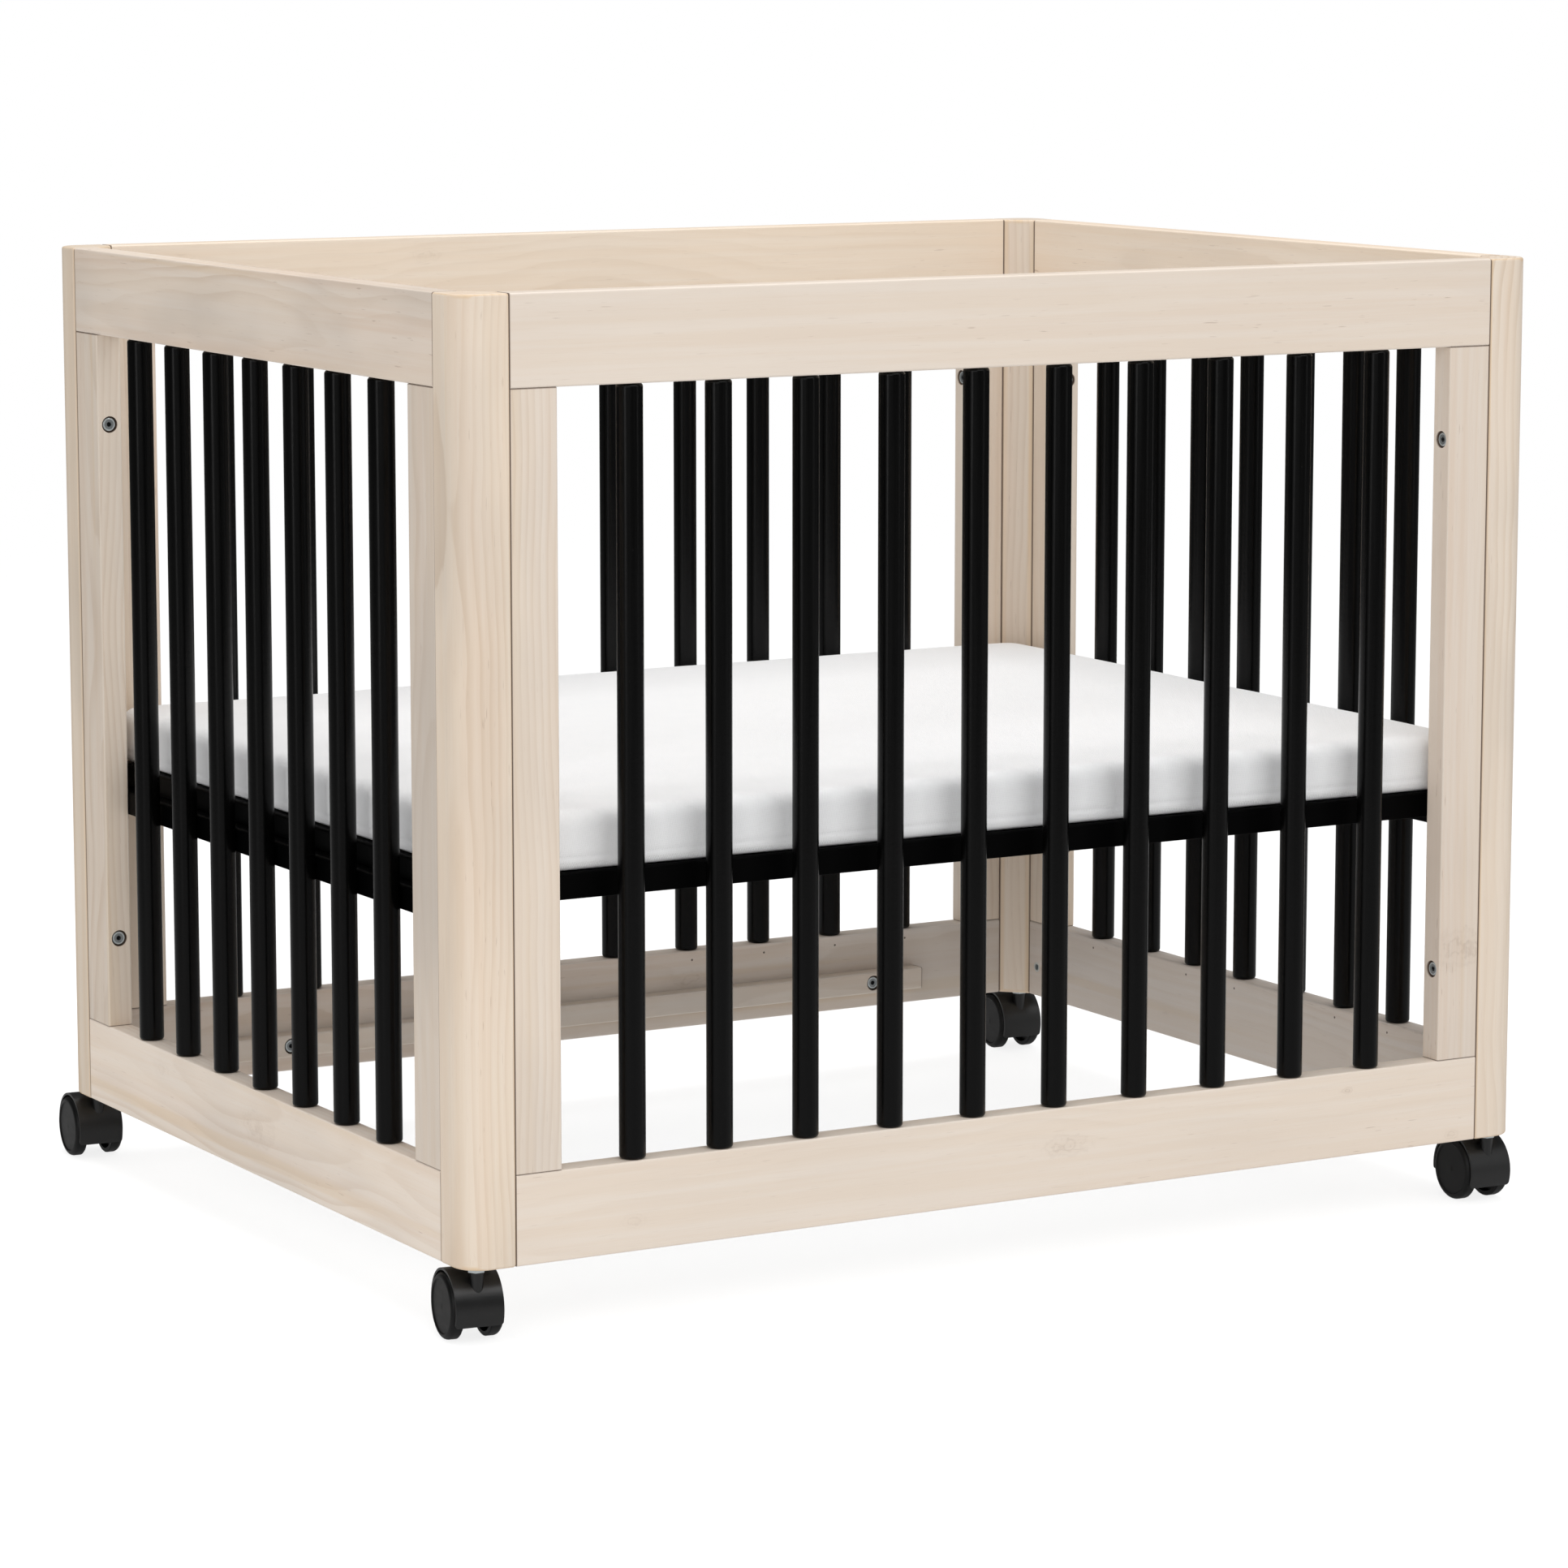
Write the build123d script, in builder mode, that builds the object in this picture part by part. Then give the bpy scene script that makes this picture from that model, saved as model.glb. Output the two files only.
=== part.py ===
from build123d import *
import os

# A wooden mini crib on four twin-wheel casters: corner posts, slatted panels bolted between them,
# a steel mattress support hung on the end panels, and a loose mattress.
# Millimetres. +X runs along the length to the right end, +Y to the back, +Z up.
# The origin is on the floor, under the middle of the footprint with its casters.

# ---------------------------------------------------------------- driving dimensions
crib_length = 1046          # over the posts
crib_width = 820            # over the posts
rim_height = 843            # floor to the top of the rails
caster_height = 63          # floor to the foot of a post

post_width = 46
post_corner_radius = 24     # outer corner
post_chamfer = 22           # inner corner
post_edge = 3
post_end_edge = 2.4

rail_height = 75
rail_thickness = 23
rail_inset = 1              # the panels stand back from the posts' outer faces
rail_edge = 1.8
joint_edge = 0.8            # eased edge where a rail meets a post or a stile

long_stile_width = 42
end_stile_width = 47
spindle_radius = 11
spindle_end = 3
tenon_radius = 8
tenon_length = 20
tenon_spare = 1             # hole left past the end of a tenon or a dowel
long_spindle_count = 10
end_spindle_count = 7
fit_gap = 0.05              # radial room round a glued or pressed pin

dowel_radius = 4
dowel_length = 40
dowel_spread = 10           # each side of a stile's middle

bolt_heights = (219, 687)
bolt_radius = 3             # M6
bolt_hole_radius = 3.3
bolt_hole_spare = 3         # hole left past the end of a bolt
bolt_head_radius = 6
bolt_head_height = 4
bolt_dish_radius = 4.4      # shallow dish in a head's face
bolt_dish_depth = 0.4
bolt_socket_size = 4        # across flats
bolt_socket_depth = 2.5
counterbore_radius = 7.5
bolt_recess = 1.5           # a head's face below the wood round it
panel_bolt_length = 55
insert_radius = 5
insert_length = 15
insert_bore = bolt_radius + fit_gap

cleat_length = 748
cleat_depth = 19
cleat_height = 21
cleat_bolt_x = 317.5
cleat_bolt_length = 28

mattress_length = 976
mattress_width = 752
mattress_thickness = 50
mattress_corner = 22
mattress_edge = 12

steel = 3                   # wall of the angle bars
bar_radii = [0.8, 0.8, 1, 0.8, 0.8, 2.5]    # corners of an angle bar's section
deck_height = 373           # top of the support frame
long_bar_height = 22
end_bar_height = 20
bar_flange = 20
frame_half_length = 487
frame_half_width = 373
hanger_height = 21
hanger_half_length = 361
hanger_bolt_y = 350
hanger_bolt_length = 14
low_support_drop = 250      # from the fitted support height to the lowest one
slat_count = 9
slat_pitch = 97
slat_width = 20
slat_thickness = 2
slat_end_gap = 1

wheel_radius = 27.5
wheel_inner = 12            # from the caster's middle to a wheel's inner face
wheel_outer = 23
wheel_disc = 6              # thickness of the disc behind its face
wheel_rim_wall = 4
wheel_hub_wall = 3
wheel_rim_step = 1          # the rim stands proud of the face
wheel_face_dish = 0.6
wheel_pocket = 4            # closed end of the bore, from the outer face
tread_round = 4.5           # outer corner of the tread
tread_edge = 0.8            # inner corner of the tread
axle_radius = 4
axle_end_gap = 0.5
axle_chamfer = 0.5
stem_offset = 4             # out from a post's middle, along X and along Y
caster_trail = 22           # swivel axis to wheel axis
hood_wall = 2
hood_radius = 31
hood_half_width = 20.5
hood_corner = 3
hood_rear_angle = -12       # from the back, over the top, to the low front edge
hood_front_angle = 205
hood_web = 6                # thickness of the wall between the wheels
hood_web_drops = (5, 6, 12)     # its lower edge below the axle: rear, middle, front
hood_hub_wall = 3
wheel_side_gap = 0.3
collar_across_flats = 13
collar_height = 4
swivel_gap = 0.4            # collar to socket
stem_thread_radius = 4      # M8
stem_thread_length = 20
stem_hole_radius = 4.3
stem_hole_spare = 10
swivel_pin_radius = 3.2
swivel_pin_foot = 30        # lowest point of the swivel pin
swivel_pin_gap = 0.5
socket_foot = 27
socket_foot_radius = 4.5
socket_top_radius = 6
caster_insert_radius = 6
caster_insert_length = 22

# How far each caster is turned about its stem, in degrees.
caster_turn = {
    ("front", "left"): -7,
    ("front", "right"): -3,
    ("back", "left"): -4,
    ("back", "right"): -5,
}

# ---------------------------------------------------------------- worked out from those
side_sign = {"left": -1, "right": 1}
face_sign = {"front": -1, "back": 1}

middle_y = (post_width / 2 - stem_offset - caster_trail - hood_radius) / 2
post_x = crib_length / 2 - post_width / 2
post_y = crib_width / 2 - post_width / 2
post_length = rim_height - caster_height
panel_setback = rail_inset + rail_thickness / 2
panel_x = crib_length / 2 - panel_setback
panel_y = crib_width / 2 - panel_setback
stem_x = post_x + stem_offset
stem_y = post_y + stem_offset
opening_foot = caster_height + rail_height
opening_top = rim_height - rail_height
opening_height = opening_top - opening_foot
inner_face = rail_thickness / 2
insert_hole_radius = insert_radius + fit_gap
counterbore_depth = bolt_head_height + bolt_recess
post_hole_depth = panel_bolt_length - long_stile_width + counterbore_depth + bolt_hole_spare
cleat_foot = deck_height - low_support_drop - long_bar_height - cleat_height
cleat_middle = cleat_foot + cleat_height / 2
hanger_top = deck_height - end_bar_height
hanger_middle = hanger_top - hanger_height / 2

# Each panel's own plane: its X runs along the panel, its Y is up and its Z points outward.
panel_plane = {
    "front": Plane(origin=(0, middle_y - panel_y, 0), x_dir=(1, 0, 0), z_dir=(0, -1, 0)),
    "back": Plane(origin=(0, middle_y + panel_y, 0), x_dir=(-1, 0, 0), z_dir=(0, 1, 0)),
    "left": Plane(origin=(-panel_x, middle_y, 0), x_dir=(0, -1, 0), z_dir=(-1, 0, 0)),
    "right": Plane(origin=(panel_x, middle_y, 0), x_dir=(0, 1, 0), z_dir=(1, 0, 0)),
}
panel_axis = {"front": Axis.X, "back": Axis.X, "left": Axis.Y, "right": Axis.Y}
panel_length = {
    "front": crib_length - 2 * post_width,
    "back": crib_length - 2 * post_width,
    "left": crib_width - 2 * post_width,
    "right": crib_width - 2 * post_width,
}
stile_width = {
    "front": long_stile_width,
    "back": long_stile_width,
    "left": end_stile_width,
    "right": end_stile_width,
}
spindle_count = {
    "front": long_spindle_count,
    "back": long_spindle_count,
    "left": end_spindle_count,
    "right": end_spindle_count,
}


def facing(plane, along, height, out, direction):
    """Plane at a point given in a panel's own plane, facing a direction."""
    return Plane(origin=plane.from_local_coords((along, height, out)), z_dir=direction)


def spindle_places(panel):
    """Points along a panel that share its opening into equal gaps."""
    opening = panel_length[panel] - 2 * stile_width[panel]
    count = spindle_count[panel]
    gap = (opening - count * 2 * spindle_radius) / (count + 1)
    pitch = gap + 2 * spindle_radius
    offsets = [(number - (count - 1) / 2) * pitch for number in range(count)]
    return [panel_plane[panel].from_local_coords((offset, 0, 0)) for offset in offsets]


def dowel_places(panel):
    """Points along a panel where dowels join the rails and the stiles."""
    stile_middle = (panel_length[panel] - stile_width[panel]) / 2
    places = []
    for side in (-1, 1):
        for spread in (-dowel_spread, dowel_spread):
            along = side * stile_middle + spread
            places.append(panel_plane[panel].from_local_coords((along, 0, 0)))
    return places


def stile_bolt_planes(panel, side):
    """Mouths of the bolt holes of one stile, facing the panel's opening."""
    plane = panel_plane[panel]
    along = side * (panel_length[panel] / 2 - stile_width[panel])
    return [facing(plane, along, height, 0, plane.x_dir * -side) for height in bolt_heights]


def post_bolt_planes(panel, side):
    """Mouths of the insert holes in the post beside one stile."""
    plane = panel_plane[panel]
    along = side * panel_length[panel] / 2
    return [facing(plane, along, height, 0, plane.x_dir * -side) for height in bolt_heights]


def section(panel, along):
    """Plane across a panel: its X points into the crib from the panel's middle, its Y is up."""
    plane = panel_plane[panel]
    origin = plane.from_local_coords((along, 0, 0))
    return Plane(origin=origin, x_dir=-plane.z_dir, z_dir=plane.x_dir)


def polar(radius, angle):
    """Point at a radius and an angle in degrees."""
    return Vector(radius, 0, 0).rotate(Axis.Z, angle)


def angle_bar(outer, top, height):
    """Closed outline of an angle bar in a section plane, from its outer face and its top."""
    return FilletPolyline(
        (outer, top - height),
        (outer + steel, top - height),
        (outer + steel, top - steel),
        (outer + bar_flange, top - steel),
        (outer + bar_flange, top),
        (outer, top),
        radius=bar_radii,
        close=True,
    )


def save(piece, name):
    """Label a finished piece and write its STEP file."""
    piece.part.label = name
    export_step(piece.part, f"parts/{name}.step")


def screws(seats, shank_length, head_height):
    """Hex-socket screws, each with the underside of its head on a seat plane."""
    with BuildPart() as screw_set:
        for seat in seats:
            with BuildSketch(seat):
                Circle(bolt_head_radius)
            head = extrude(amount=head_height)
            rim = head.edges().sort_by(Axis(seat.origin, seat.z_dir))[-1]
            fillet(rim, head_height / 5)
            with BuildSketch(seat):
                Circle(bolt_radius)
            extrude(amount=-shank_length)
            with BuildSketch(seat.offset(head_height)):
                Circle(bolt_dish_radius)
            extrude(amount=-bolt_dish_depth, mode=Mode.SUBTRACT)
            with BuildSketch(seat.offset(head_height)):
                RegularPolygon(bolt_socket_size / 2, 6, major_radius=False)
            extrude(amount=-bolt_socket_depth, mode=Mode.SUBTRACT)
    return screw_set


def inserts(mouths, outer_radius, bore_radius, length):
    """Threaded inserts, each flush with a mouth plane."""
    with BuildPart() as insert_set:
        for mouth in mouths:
            with BuildSketch(mouth):
                Circle(outer_radius)
                Circle(bore_radius, mode=Mode.SUBTRACT)
            extrude(amount=-length)
    return insert_set


os.makedirs("parts", exist_ok=True)

# ---------------------------------------------------------------- fastener places
panel_bolt_seats = []
post_insert_mouths = []
for panel in panel_plane:
    for side in (-1, 1):
        mouths = stile_bolt_planes(panel, side)
        panel_bolt_seats += [mouth.offset(-counterbore_depth) for mouth in mouths]
        post_insert_mouths += post_bolt_planes(panel, side)

cleat_mouths = {}
cleat_insert_mouths = {}
for panel in ("front", "back"):
    plane = panel_plane[panel]
    inward = -plane.z_dir
    rim = -(inner_face + cleat_depth)
    places = (-cleat_bolt_x, cleat_bolt_x)
    cleat_mouths[panel] = [facing(plane, x, cleat_middle, rim, inward) for x in places]
    cleat_insert_mouths[panel] = [facing(plane, x, cleat_middle, -inner_face, inward) for x in places]

caster_mouths = {}
for face, y_sign in face_sign.items():
    for side, x_sign in side_sign.items():
        foot = (x_sign * stem_x, middle_y + y_sign * stem_y, caster_height)
        caster_mouths[face, side] = Plane(origin=foot, z_dir=(0, 0, -1))

stile_support_mouths = {}
rail_support_mouths = {}
for panel in ("left", "right"):
    plane = panel_plane[panel]
    for side in (-1, 1):
        along = side * hanger_bolt_y
        stile_mouth = facing(plane, along, hanger_middle, -inner_face, -plane.z_dir)
        rail_mouth = facing(plane, along, hanger_middle - low_support_drop, -inner_face, -plane.z_dir)
        stile_support_mouths[panel, side] = stile_mouth
        rail_support_mouths[panel, side] = rail_mouth

# ---------------------------------------------------------------- corner posts
for face, y_sign in face_sign.items():
    for side, x_sign in side_sign.items():
        half = post_width / 2
        cut = half - post_chamfer
        outline = [(half, half), (-half, half), (-half, -cut), (-cut, -half), (half, -half)]
        mirrored = [(x_sign * x, y_sign * y) for x, y in outline]
        corner = Plane(origin=(x_sign * post_x, middle_y + y_sign * post_y, caster_height))
        with BuildPart() as post:
            with BuildSketch(corner):
                with BuildLine():
                    radii = [post_corner_radius, post_edge, post_edge, post_edge, post_edge]
                    FilletPolyline(*mirrored, radius=radii, close=True)
                make_face()
            extrude(amount=post_length)
            fillet(post.faces().sort_by(Axis.Z)[-1].edges(), post_end_edge)
            fillet(post.faces().sort_by(Axis.Z)[0].edges(), post_end_edge)
            beside = []
            for mouth in post_insert_mouths:
                level = Vector(corner.origin.X, corner.origin.Y, mouth.origin.Z)
                if (mouth.origin - level).length < post_width:
                    beside.append(mouth)
            with Locations(*beside):
                CounterBoreHole(
                    radius=bolt_hole_radius,
                    counter_bore_radius=insert_hole_radius,
                    counter_bore_depth=insert_length,
                    depth=post_hole_depth,
                )
            with Locations(caster_mouths[face, side]):
                CounterBoreHole(
                    radius=stem_hole_radius,
                    counter_bore_radius=caster_insert_radius + fit_gap,
                    counter_bore_depth=caster_insert_length,
                    depth=caster_insert_length + stem_hole_spare,
                )
        save(post, f"post_{face}_{side}")

# ---------------------------------------------------------------- panels
for panel, plane in panel_plane.items():
    length = panel_length[panel]
    tenons = [(place.X, place.Y) for place in spindle_places(panel)]
    dowels = [(place.X, place.Y) for place in dowel_places(panel)]
    rails = {
        "top": (rim_height - rail_height / 2, opening_top, 1),
        "bottom": (caster_height + rail_height / 2, opening_foot, -1),
    }
    for level, (rail_middle, opening_edge, into) in rails.items():
        with BuildPart() as rail:
            with BuildSketch(plane.offset(-rail_thickness / 2)):
                with Locations((0, rail_middle)):
                    Rectangle(length, rail_height)
            extrude(amount=rail_thickness)
            fillet(rail.edges().filter_by(panel_axis[panel]), rail_edge)
            ends = rail.faces().filter_by(panel_axis[panel])
            fillet(ends.edges(), joint_edge)
            with BuildSketch(Plane.XY.offset(opening_edge)):
                with Locations(*tenons):
                    Circle(tenon_radius + fit_gap)
                with Locations(*dowels):
                    Circle(dowel_radius + fit_gap)
            extrude(amount=into * (tenon_length + tenon_spare), mode=Mode.SUBTRACT)
            if level == "bottom" and panel in cleat_insert_mouths:
                with Locations(*cleat_insert_mouths[panel]):
                    Hole(insert_hole_radius, depth=insert_length)
            if level == "bottom" and panel in ("left", "right"):
                with Locations(rail_support_mouths[panel, -1], rail_support_mouths[panel, 1]):
                    Hole(insert_hole_radius, depth=insert_length)
        save(rail, f"{panel}_{level}_rail")

    for end in (-1, 1):
        width = stile_width[panel]
        stile_middle = end * (length - width) / 2
        with BuildPart() as stile:
            with BuildSketch(plane.offset(-rail_thickness / 2)):
                with Locations((stile_middle, opening_foot + opening_height / 2)):
                    Rectangle(width, opening_height)
            extrude(amount=rail_thickness)
            fillet(stile.edges().filter_by(Axis.Z), rail_edge)
            ends = stile.faces().filter_by(Axis.Z)
            fillet(ends.edges(), joint_edge)
            with Locations(*stile_bolt_planes(panel, end)):
                CounterBoreHole(
                    radius=bolt_hole_radius,
                    counter_bore_radius=counterbore_radius,
                    counter_bore_depth=counterbore_depth,
                )
            for height, into in ((opening_foot, 1), (opening_top, -1)):
                with BuildSketch(Plane.XY.offset(height)):
                    with Locations(*dowels):
                        Circle(dowel_radius + fit_gap)
                extrude(amount=into * (tenon_length + tenon_spare), mode=Mode.SUBTRACT)
            if panel in ("left", "right"):
                with Locations(stile_support_mouths[panel, end]):
                    Hole(insert_hole_radius, depth=insert_length)
        middle = plane.from_local_coords((stile_middle, 0, 0))
        if panel in ("front", "back"):
            place_name = "left" if middle.X < 0 else "right"
        else:
            place_name = "front" if middle.Y < middle_y else "back"
        save(stile, f"{panel}_stile_{place_name}")

    with BuildPart() as spindles:
        with BuildSketch(Plane.XY.offset(opening_foot)):
            with Locations(*tenons):
                Circle(spindle_radius)
        extrude(amount=opening_height)
        fillet(spindles.edges().filter_by(GeomType.CIRCLE), spindle_end)
        with BuildSketch(Plane.XY.offset(opening_foot - tenon_length)):
            with Locations(*tenons):
                Circle(tenon_radius)
        extrude(amount=opening_height + 2 * tenon_length)
    save(spindles, f"{panel}_spindles")

# ---------------------------------------------------------------- dowels, bolts and inserts
with BuildPart() as panel_dowels:
    for panel in panel_plane:
        dowels = [(place.X, place.Y) for place in dowel_places(panel)]
        for height in (opening_foot, opening_top):
            with BuildSketch(Plane.XY.offset(height)):
                with Locations(*dowels):
                    Circle(dowel_radius)
            extrude(amount=dowel_length / 2, both=True)
save(panel_dowels, "panel_dowels")

save(screws(panel_bolt_seats, panel_bolt_length, bolt_head_height), "panel_bolts")
save(inserts(post_insert_mouths, insert_radius, insert_bore, insert_length), "post_inserts")

all_cleat_mouths = cleat_mouths["front"] + cleat_mouths["back"]
cleat_seats = [mouth.offset(-counterbore_depth) for mouth in all_cleat_mouths]
save(screws(cleat_seats, cleat_bolt_length, bolt_head_height), "cleat_bolts")
cleat_inserts = cleat_insert_mouths["front"] + cleat_insert_mouths["back"]
save(inserts(cleat_inserts, insert_radius, insert_bore, insert_length), "cleat_inserts")

support_mouths = list(stile_support_mouths.values()) + list(rail_support_mouths.values())
save(inserts(support_mouths, insert_radius, insert_bore, insert_length), "support_inserts")
hanger_seats = [mouth.offset(steel) for mouth in stile_support_mouths.values()]
save(screws(hanger_seats, hanger_bolt_length, bolt_head_height), "support_bolts")

# ---------------------------------------------------------------- cleats
for panel in ("front", "back"):
    with BuildPart() as cleat:
        with BuildSketch(panel_plane[panel].offset(-inner_face)):
            with Locations((0, cleat_middle)):
                Rectangle(cleat_length, cleat_height)
        extrude(amount=-cleat_depth)
        fillet(cleat.edges().filter_by(Axis.X), rail_edge)
        with Locations(*cleat_mouths[panel]):
            CounterBoreHole(
                radius=bolt_hole_radius,
                counter_bore_radius=counterbore_radius,
                counter_bore_depth=counterbore_depth,
            )
    save(cleat, f"{panel}_cleat")

# ---------------------------------------------------------------- mattress support
for panel in ("left", "right"):
    with BuildPart() as hanger:
        with BuildSketch(section(panel, -hanger_half_length)):
            with BuildLine():
                angle_bar(inner_face, hanger_top, hanger_height)
            make_face()
        extrude(amount=2 * hanger_half_length)
        with Locations(*[stile_support_mouths[panel, end].offset(steel) for end in (-1, 1)]):
            Hole(bolt_hole_radius, depth=2 * steel)
    save(hanger, f"support_hanger_{panel}")

for panel, plane in panel_plane.items():
    is_long = panel in ("front", "back")
    half_length = frame_half_length if is_long else frame_half_width
    outer = panel_y - frame_half_width if is_long else panel_x - frame_half_length
    bar_height = long_bar_height if is_long else end_bar_height
    with BuildPart() as bar:
        with BuildSketch(section(panel, -half_length)):
            with BuildLine():
                angle_bar(outer, deck_height, bar_height)
            make_face()
        extrude(amount=2 * half_length)
        for end in (-1, 1):
            corner = plane.from_local_coords((end * half_length, deck_height, -outer))
            mitre = Plane(origin=corner, z_dir=plane.x_dir * end - plane.z_dir)
            split(bisect_by=mitre, keep=Keep.BOTTOM)
    save(bar, f"support_bar_{panel}")

with BuildPart() as support_slats:
    with BuildSketch(Plane.XY.offset(deck_height - steel - slat_thickness)):
        with Locations((0, middle_y)):
            with GridLocations(slat_pitch, 0, slat_count, 1):
                Rectangle(slat_width, 2 * (frame_half_width - steel - slat_end_gap))
    extrude(amount=slat_thickness)
save(support_slats, "support_slats")

with BuildPart() as mattress:
    with BuildSketch(Plane.XY.offset(deck_height + fit_gap)):
        with Locations((0, middle_y)):
            RectangleRounded(mattress_length, mattress_width, mattress_corner)
    extrude(amount=mattress_thickness)
    fillet(mattress.faces().filter_by(Axis.Z).edges(), mattress_edge)
save(mattress, "mattress")

# ---------------------------------------------------------------- casters
stem_insert_bore = stem_thread_radius + fit_gap
save(
    inserts(caster_mouths.values(), caster_insert_radius, stem_insert_bore, caster_insert_length),
    "caster_inserts",
)

with BuildPart() as caster_stems:
    for mouth in caster_mouths.values():
        with BuildSketch(mouth):
            RegularPolygon(collar_across_flats / 2, 6, major_radius=False)
        extrude(amount=collar_height)
        with BuildSketch(mouth):
            Circle(stem_thread_radius)
        extrude(amount=-stem_thread_length)
        with BuildSketch(mouth.offset(collar_height)):
            Circle(swivel_pin_radius)
        extrude(amount=caster_height - collar_height - swivel_pin_foot)
save(caster_stems, "caster_stems")

for (face, side), turn in caster_turn.items():
    stem_foot = (side_sign[side] * stem_x, middle_y + face_sign[face] * stem_y, 0)
    swivel = Plane(origin=stem_foot).rotated((0, 0, turn))
    axle_middle = swivel.from_local_coords((0, caster_trail, wheel_radius))
    side_view = Plane(origin=axle_middle, x_dir=swivel.y_dir, z_dir=swivel.x_dir)
    front_view = Plane(origin=axle_middle, x_dir=swivel.x_dir, z_dir=-swivel.y_dir)
    axle_axis = Axis(axle_middle, swivel.x_dir)
    socket_top = caster_height - collar_height - swivel_gap

    with BuildPart() as hood:
        with BuildSketch(side_view):
            Circle(hood_radius)
            Circle(hood_radius - hood_wall, mode=Mode.SUBTRACT)
            with BuildLine():
                reach = 2 * hood_radius
                Polyline(
                    (0, 0),
                    polar(reach, hood_rear_angle),
                    (reach, -reach),
                    (-reach, -reach),
                    polar(reach, hood_front_angle),
                    close=True,
                )
            make_face(mode=Mode.SUBTRACT)
        extrude(amount=hood_half_width, both=True)
        straight = hood.edges().filter_by(GeomType.LINE)
        fillet(straight.filter_by(lambda edge: edge.length < 2 * hood_wall), hood_corner)
        with BuildSketch(side_view):
            Circle(hood_radius - hood_wall / 2)
            with BuildLine():
                rear_drop, middle_drop, front_drop = hood_web_drops
                Polyline(
                    (hood_radius, -rear_drop),
                    (hood_radius, -hood_radius),
                    (-hood_radius, -hood_radius),
                    (-hood_radius, -front_drop),
                    (0, -middle_drop),
                    close=True,
                )
            make_face(mode=Mode.SUBTRACT)
        extrude(amount=hood_web / 2, both=True)
        with BuildSketch(side_view):
            Circle(axle_radius + hood_hub_wall)
        extrude(amount=wheel_inner - wheel_side_gap, both=True)
        with Locations(swivel.offset(socket_foot)):
            Cone(
                socket_foot_radius,
                socket_top_radius,
                socket_top - socket_foot,
                align=(Align.CENTER, Align.CENTER, Align.MIN),
            )
        with Locations(swivel.offset(socket_top)):
            Hole(swivel_pin_radius + fit_gap, depth=socket_top - swivel_pin_foot + swivel_pin_gap)
        with BuildSketch(side_view):
            Circle(axle_radius + fit_gap / 2)
        extrude(amount=wheel_inner, both=True, mode=Mode.SUBTRACT)
    save(hood, f"caster_hood_{face}_{side}")

    with BuildPart() as axle:
        with BuildSketch(side_view):
            Circle(axle_radius)
        extrude(amount=wheel_outer - wheel_pocket - axle_end_gap, both=True)
        chamfer(axle.edges().filter_by(GeomType.CIRCLE), axle_chamfer)
    save(axle, f"caster_axle_{face}_{side}")

    for sign in (-1, 1):
        bore = axle_radius + fit_gap
        disc_back = wheel_outer - wheel_disc
        round_start = wheel_outer - tread_round
        round_foot = wheel_radius - tread_round
        round_in = tread_round * (1 - 0.5 ** 0.5)
        with BuildPart() as wheel:
            with BuildSketch(front_view):
                with BuildLine():
                    Polyline(
                        (sign * (wheel_outer - wheel_face_dish), 0),
                        (sign * (wheel_outer - wheel_pocket), 0),
                        (sign * (wheel_outer - wheel_pocket), bore),
                        (sign * wheel_inner, bore),
                        (sign * wheel_inner, bore + wheel_hub_wall),
                        (sign * disc_back, bore + wheel_hub_wall + wheel_rim_step),
                        (sign * disc_back, wheel_radius - wheel_rim_wall - wheel_rim_step),
                        (sign * wheel_inner, wheel_radius - wheel_rim_wall),
                        (sign * wheel_inner, wheel_radius - tread_edge),
                        (sign * (wheel_inner + tread_edge), wheel_radius),
                        (sign * round_start, wheel_radius),
                    )
                    ThreePointArc(
                        (sign * round_start, wheel_radius),
                        (sign * (wheel_outer - round_in), wheel_radius - round_in),
                        (sign * wheel_outer, round_foot),
                    )
                    Polyline(
                        (sign * wheel_outer, round_foot),
                        (sign * (wheel_outer - wheel_rim_step), round_foot - wheel_rim_step),
                        (sign * (wheel_outer - wheel_face_dish), 0),
                    )
                make_face()
            revolve(axis=axle_axis)
        where = "outer" if sign == side_sign[side] else "inner"
        save(wheel, f"caster_wheel_{face}_{side}_{where}")
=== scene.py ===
"""Looks of a whitewashed pine mini crib on casters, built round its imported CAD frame. Metres."""
import math

import bmesh
import bpy
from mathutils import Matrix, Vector, noise


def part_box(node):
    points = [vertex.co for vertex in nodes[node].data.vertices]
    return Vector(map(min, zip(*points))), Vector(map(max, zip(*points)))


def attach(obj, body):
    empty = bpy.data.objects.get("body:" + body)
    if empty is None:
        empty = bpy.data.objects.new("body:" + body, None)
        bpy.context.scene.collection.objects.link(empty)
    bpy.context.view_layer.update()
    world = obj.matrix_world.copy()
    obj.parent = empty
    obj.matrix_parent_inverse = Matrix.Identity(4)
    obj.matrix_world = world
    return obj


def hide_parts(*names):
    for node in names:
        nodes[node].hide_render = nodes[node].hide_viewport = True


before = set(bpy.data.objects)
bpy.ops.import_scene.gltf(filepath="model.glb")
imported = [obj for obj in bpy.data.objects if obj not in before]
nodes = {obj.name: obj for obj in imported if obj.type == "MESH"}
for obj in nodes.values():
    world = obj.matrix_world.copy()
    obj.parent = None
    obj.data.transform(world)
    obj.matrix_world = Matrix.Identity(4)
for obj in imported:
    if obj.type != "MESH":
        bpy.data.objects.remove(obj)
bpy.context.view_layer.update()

scene = bpy.context.scene

# Camera: the eye's place, its heading from +Y towards +X, how far it looks down, and its lens.
EYE = Vector((-2.404, -4.2225, 1.109))
HEADING_DEG = 29.80
LOOK_DOWN_DEG = 8.74
LENS_MM = 124.8

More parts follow.
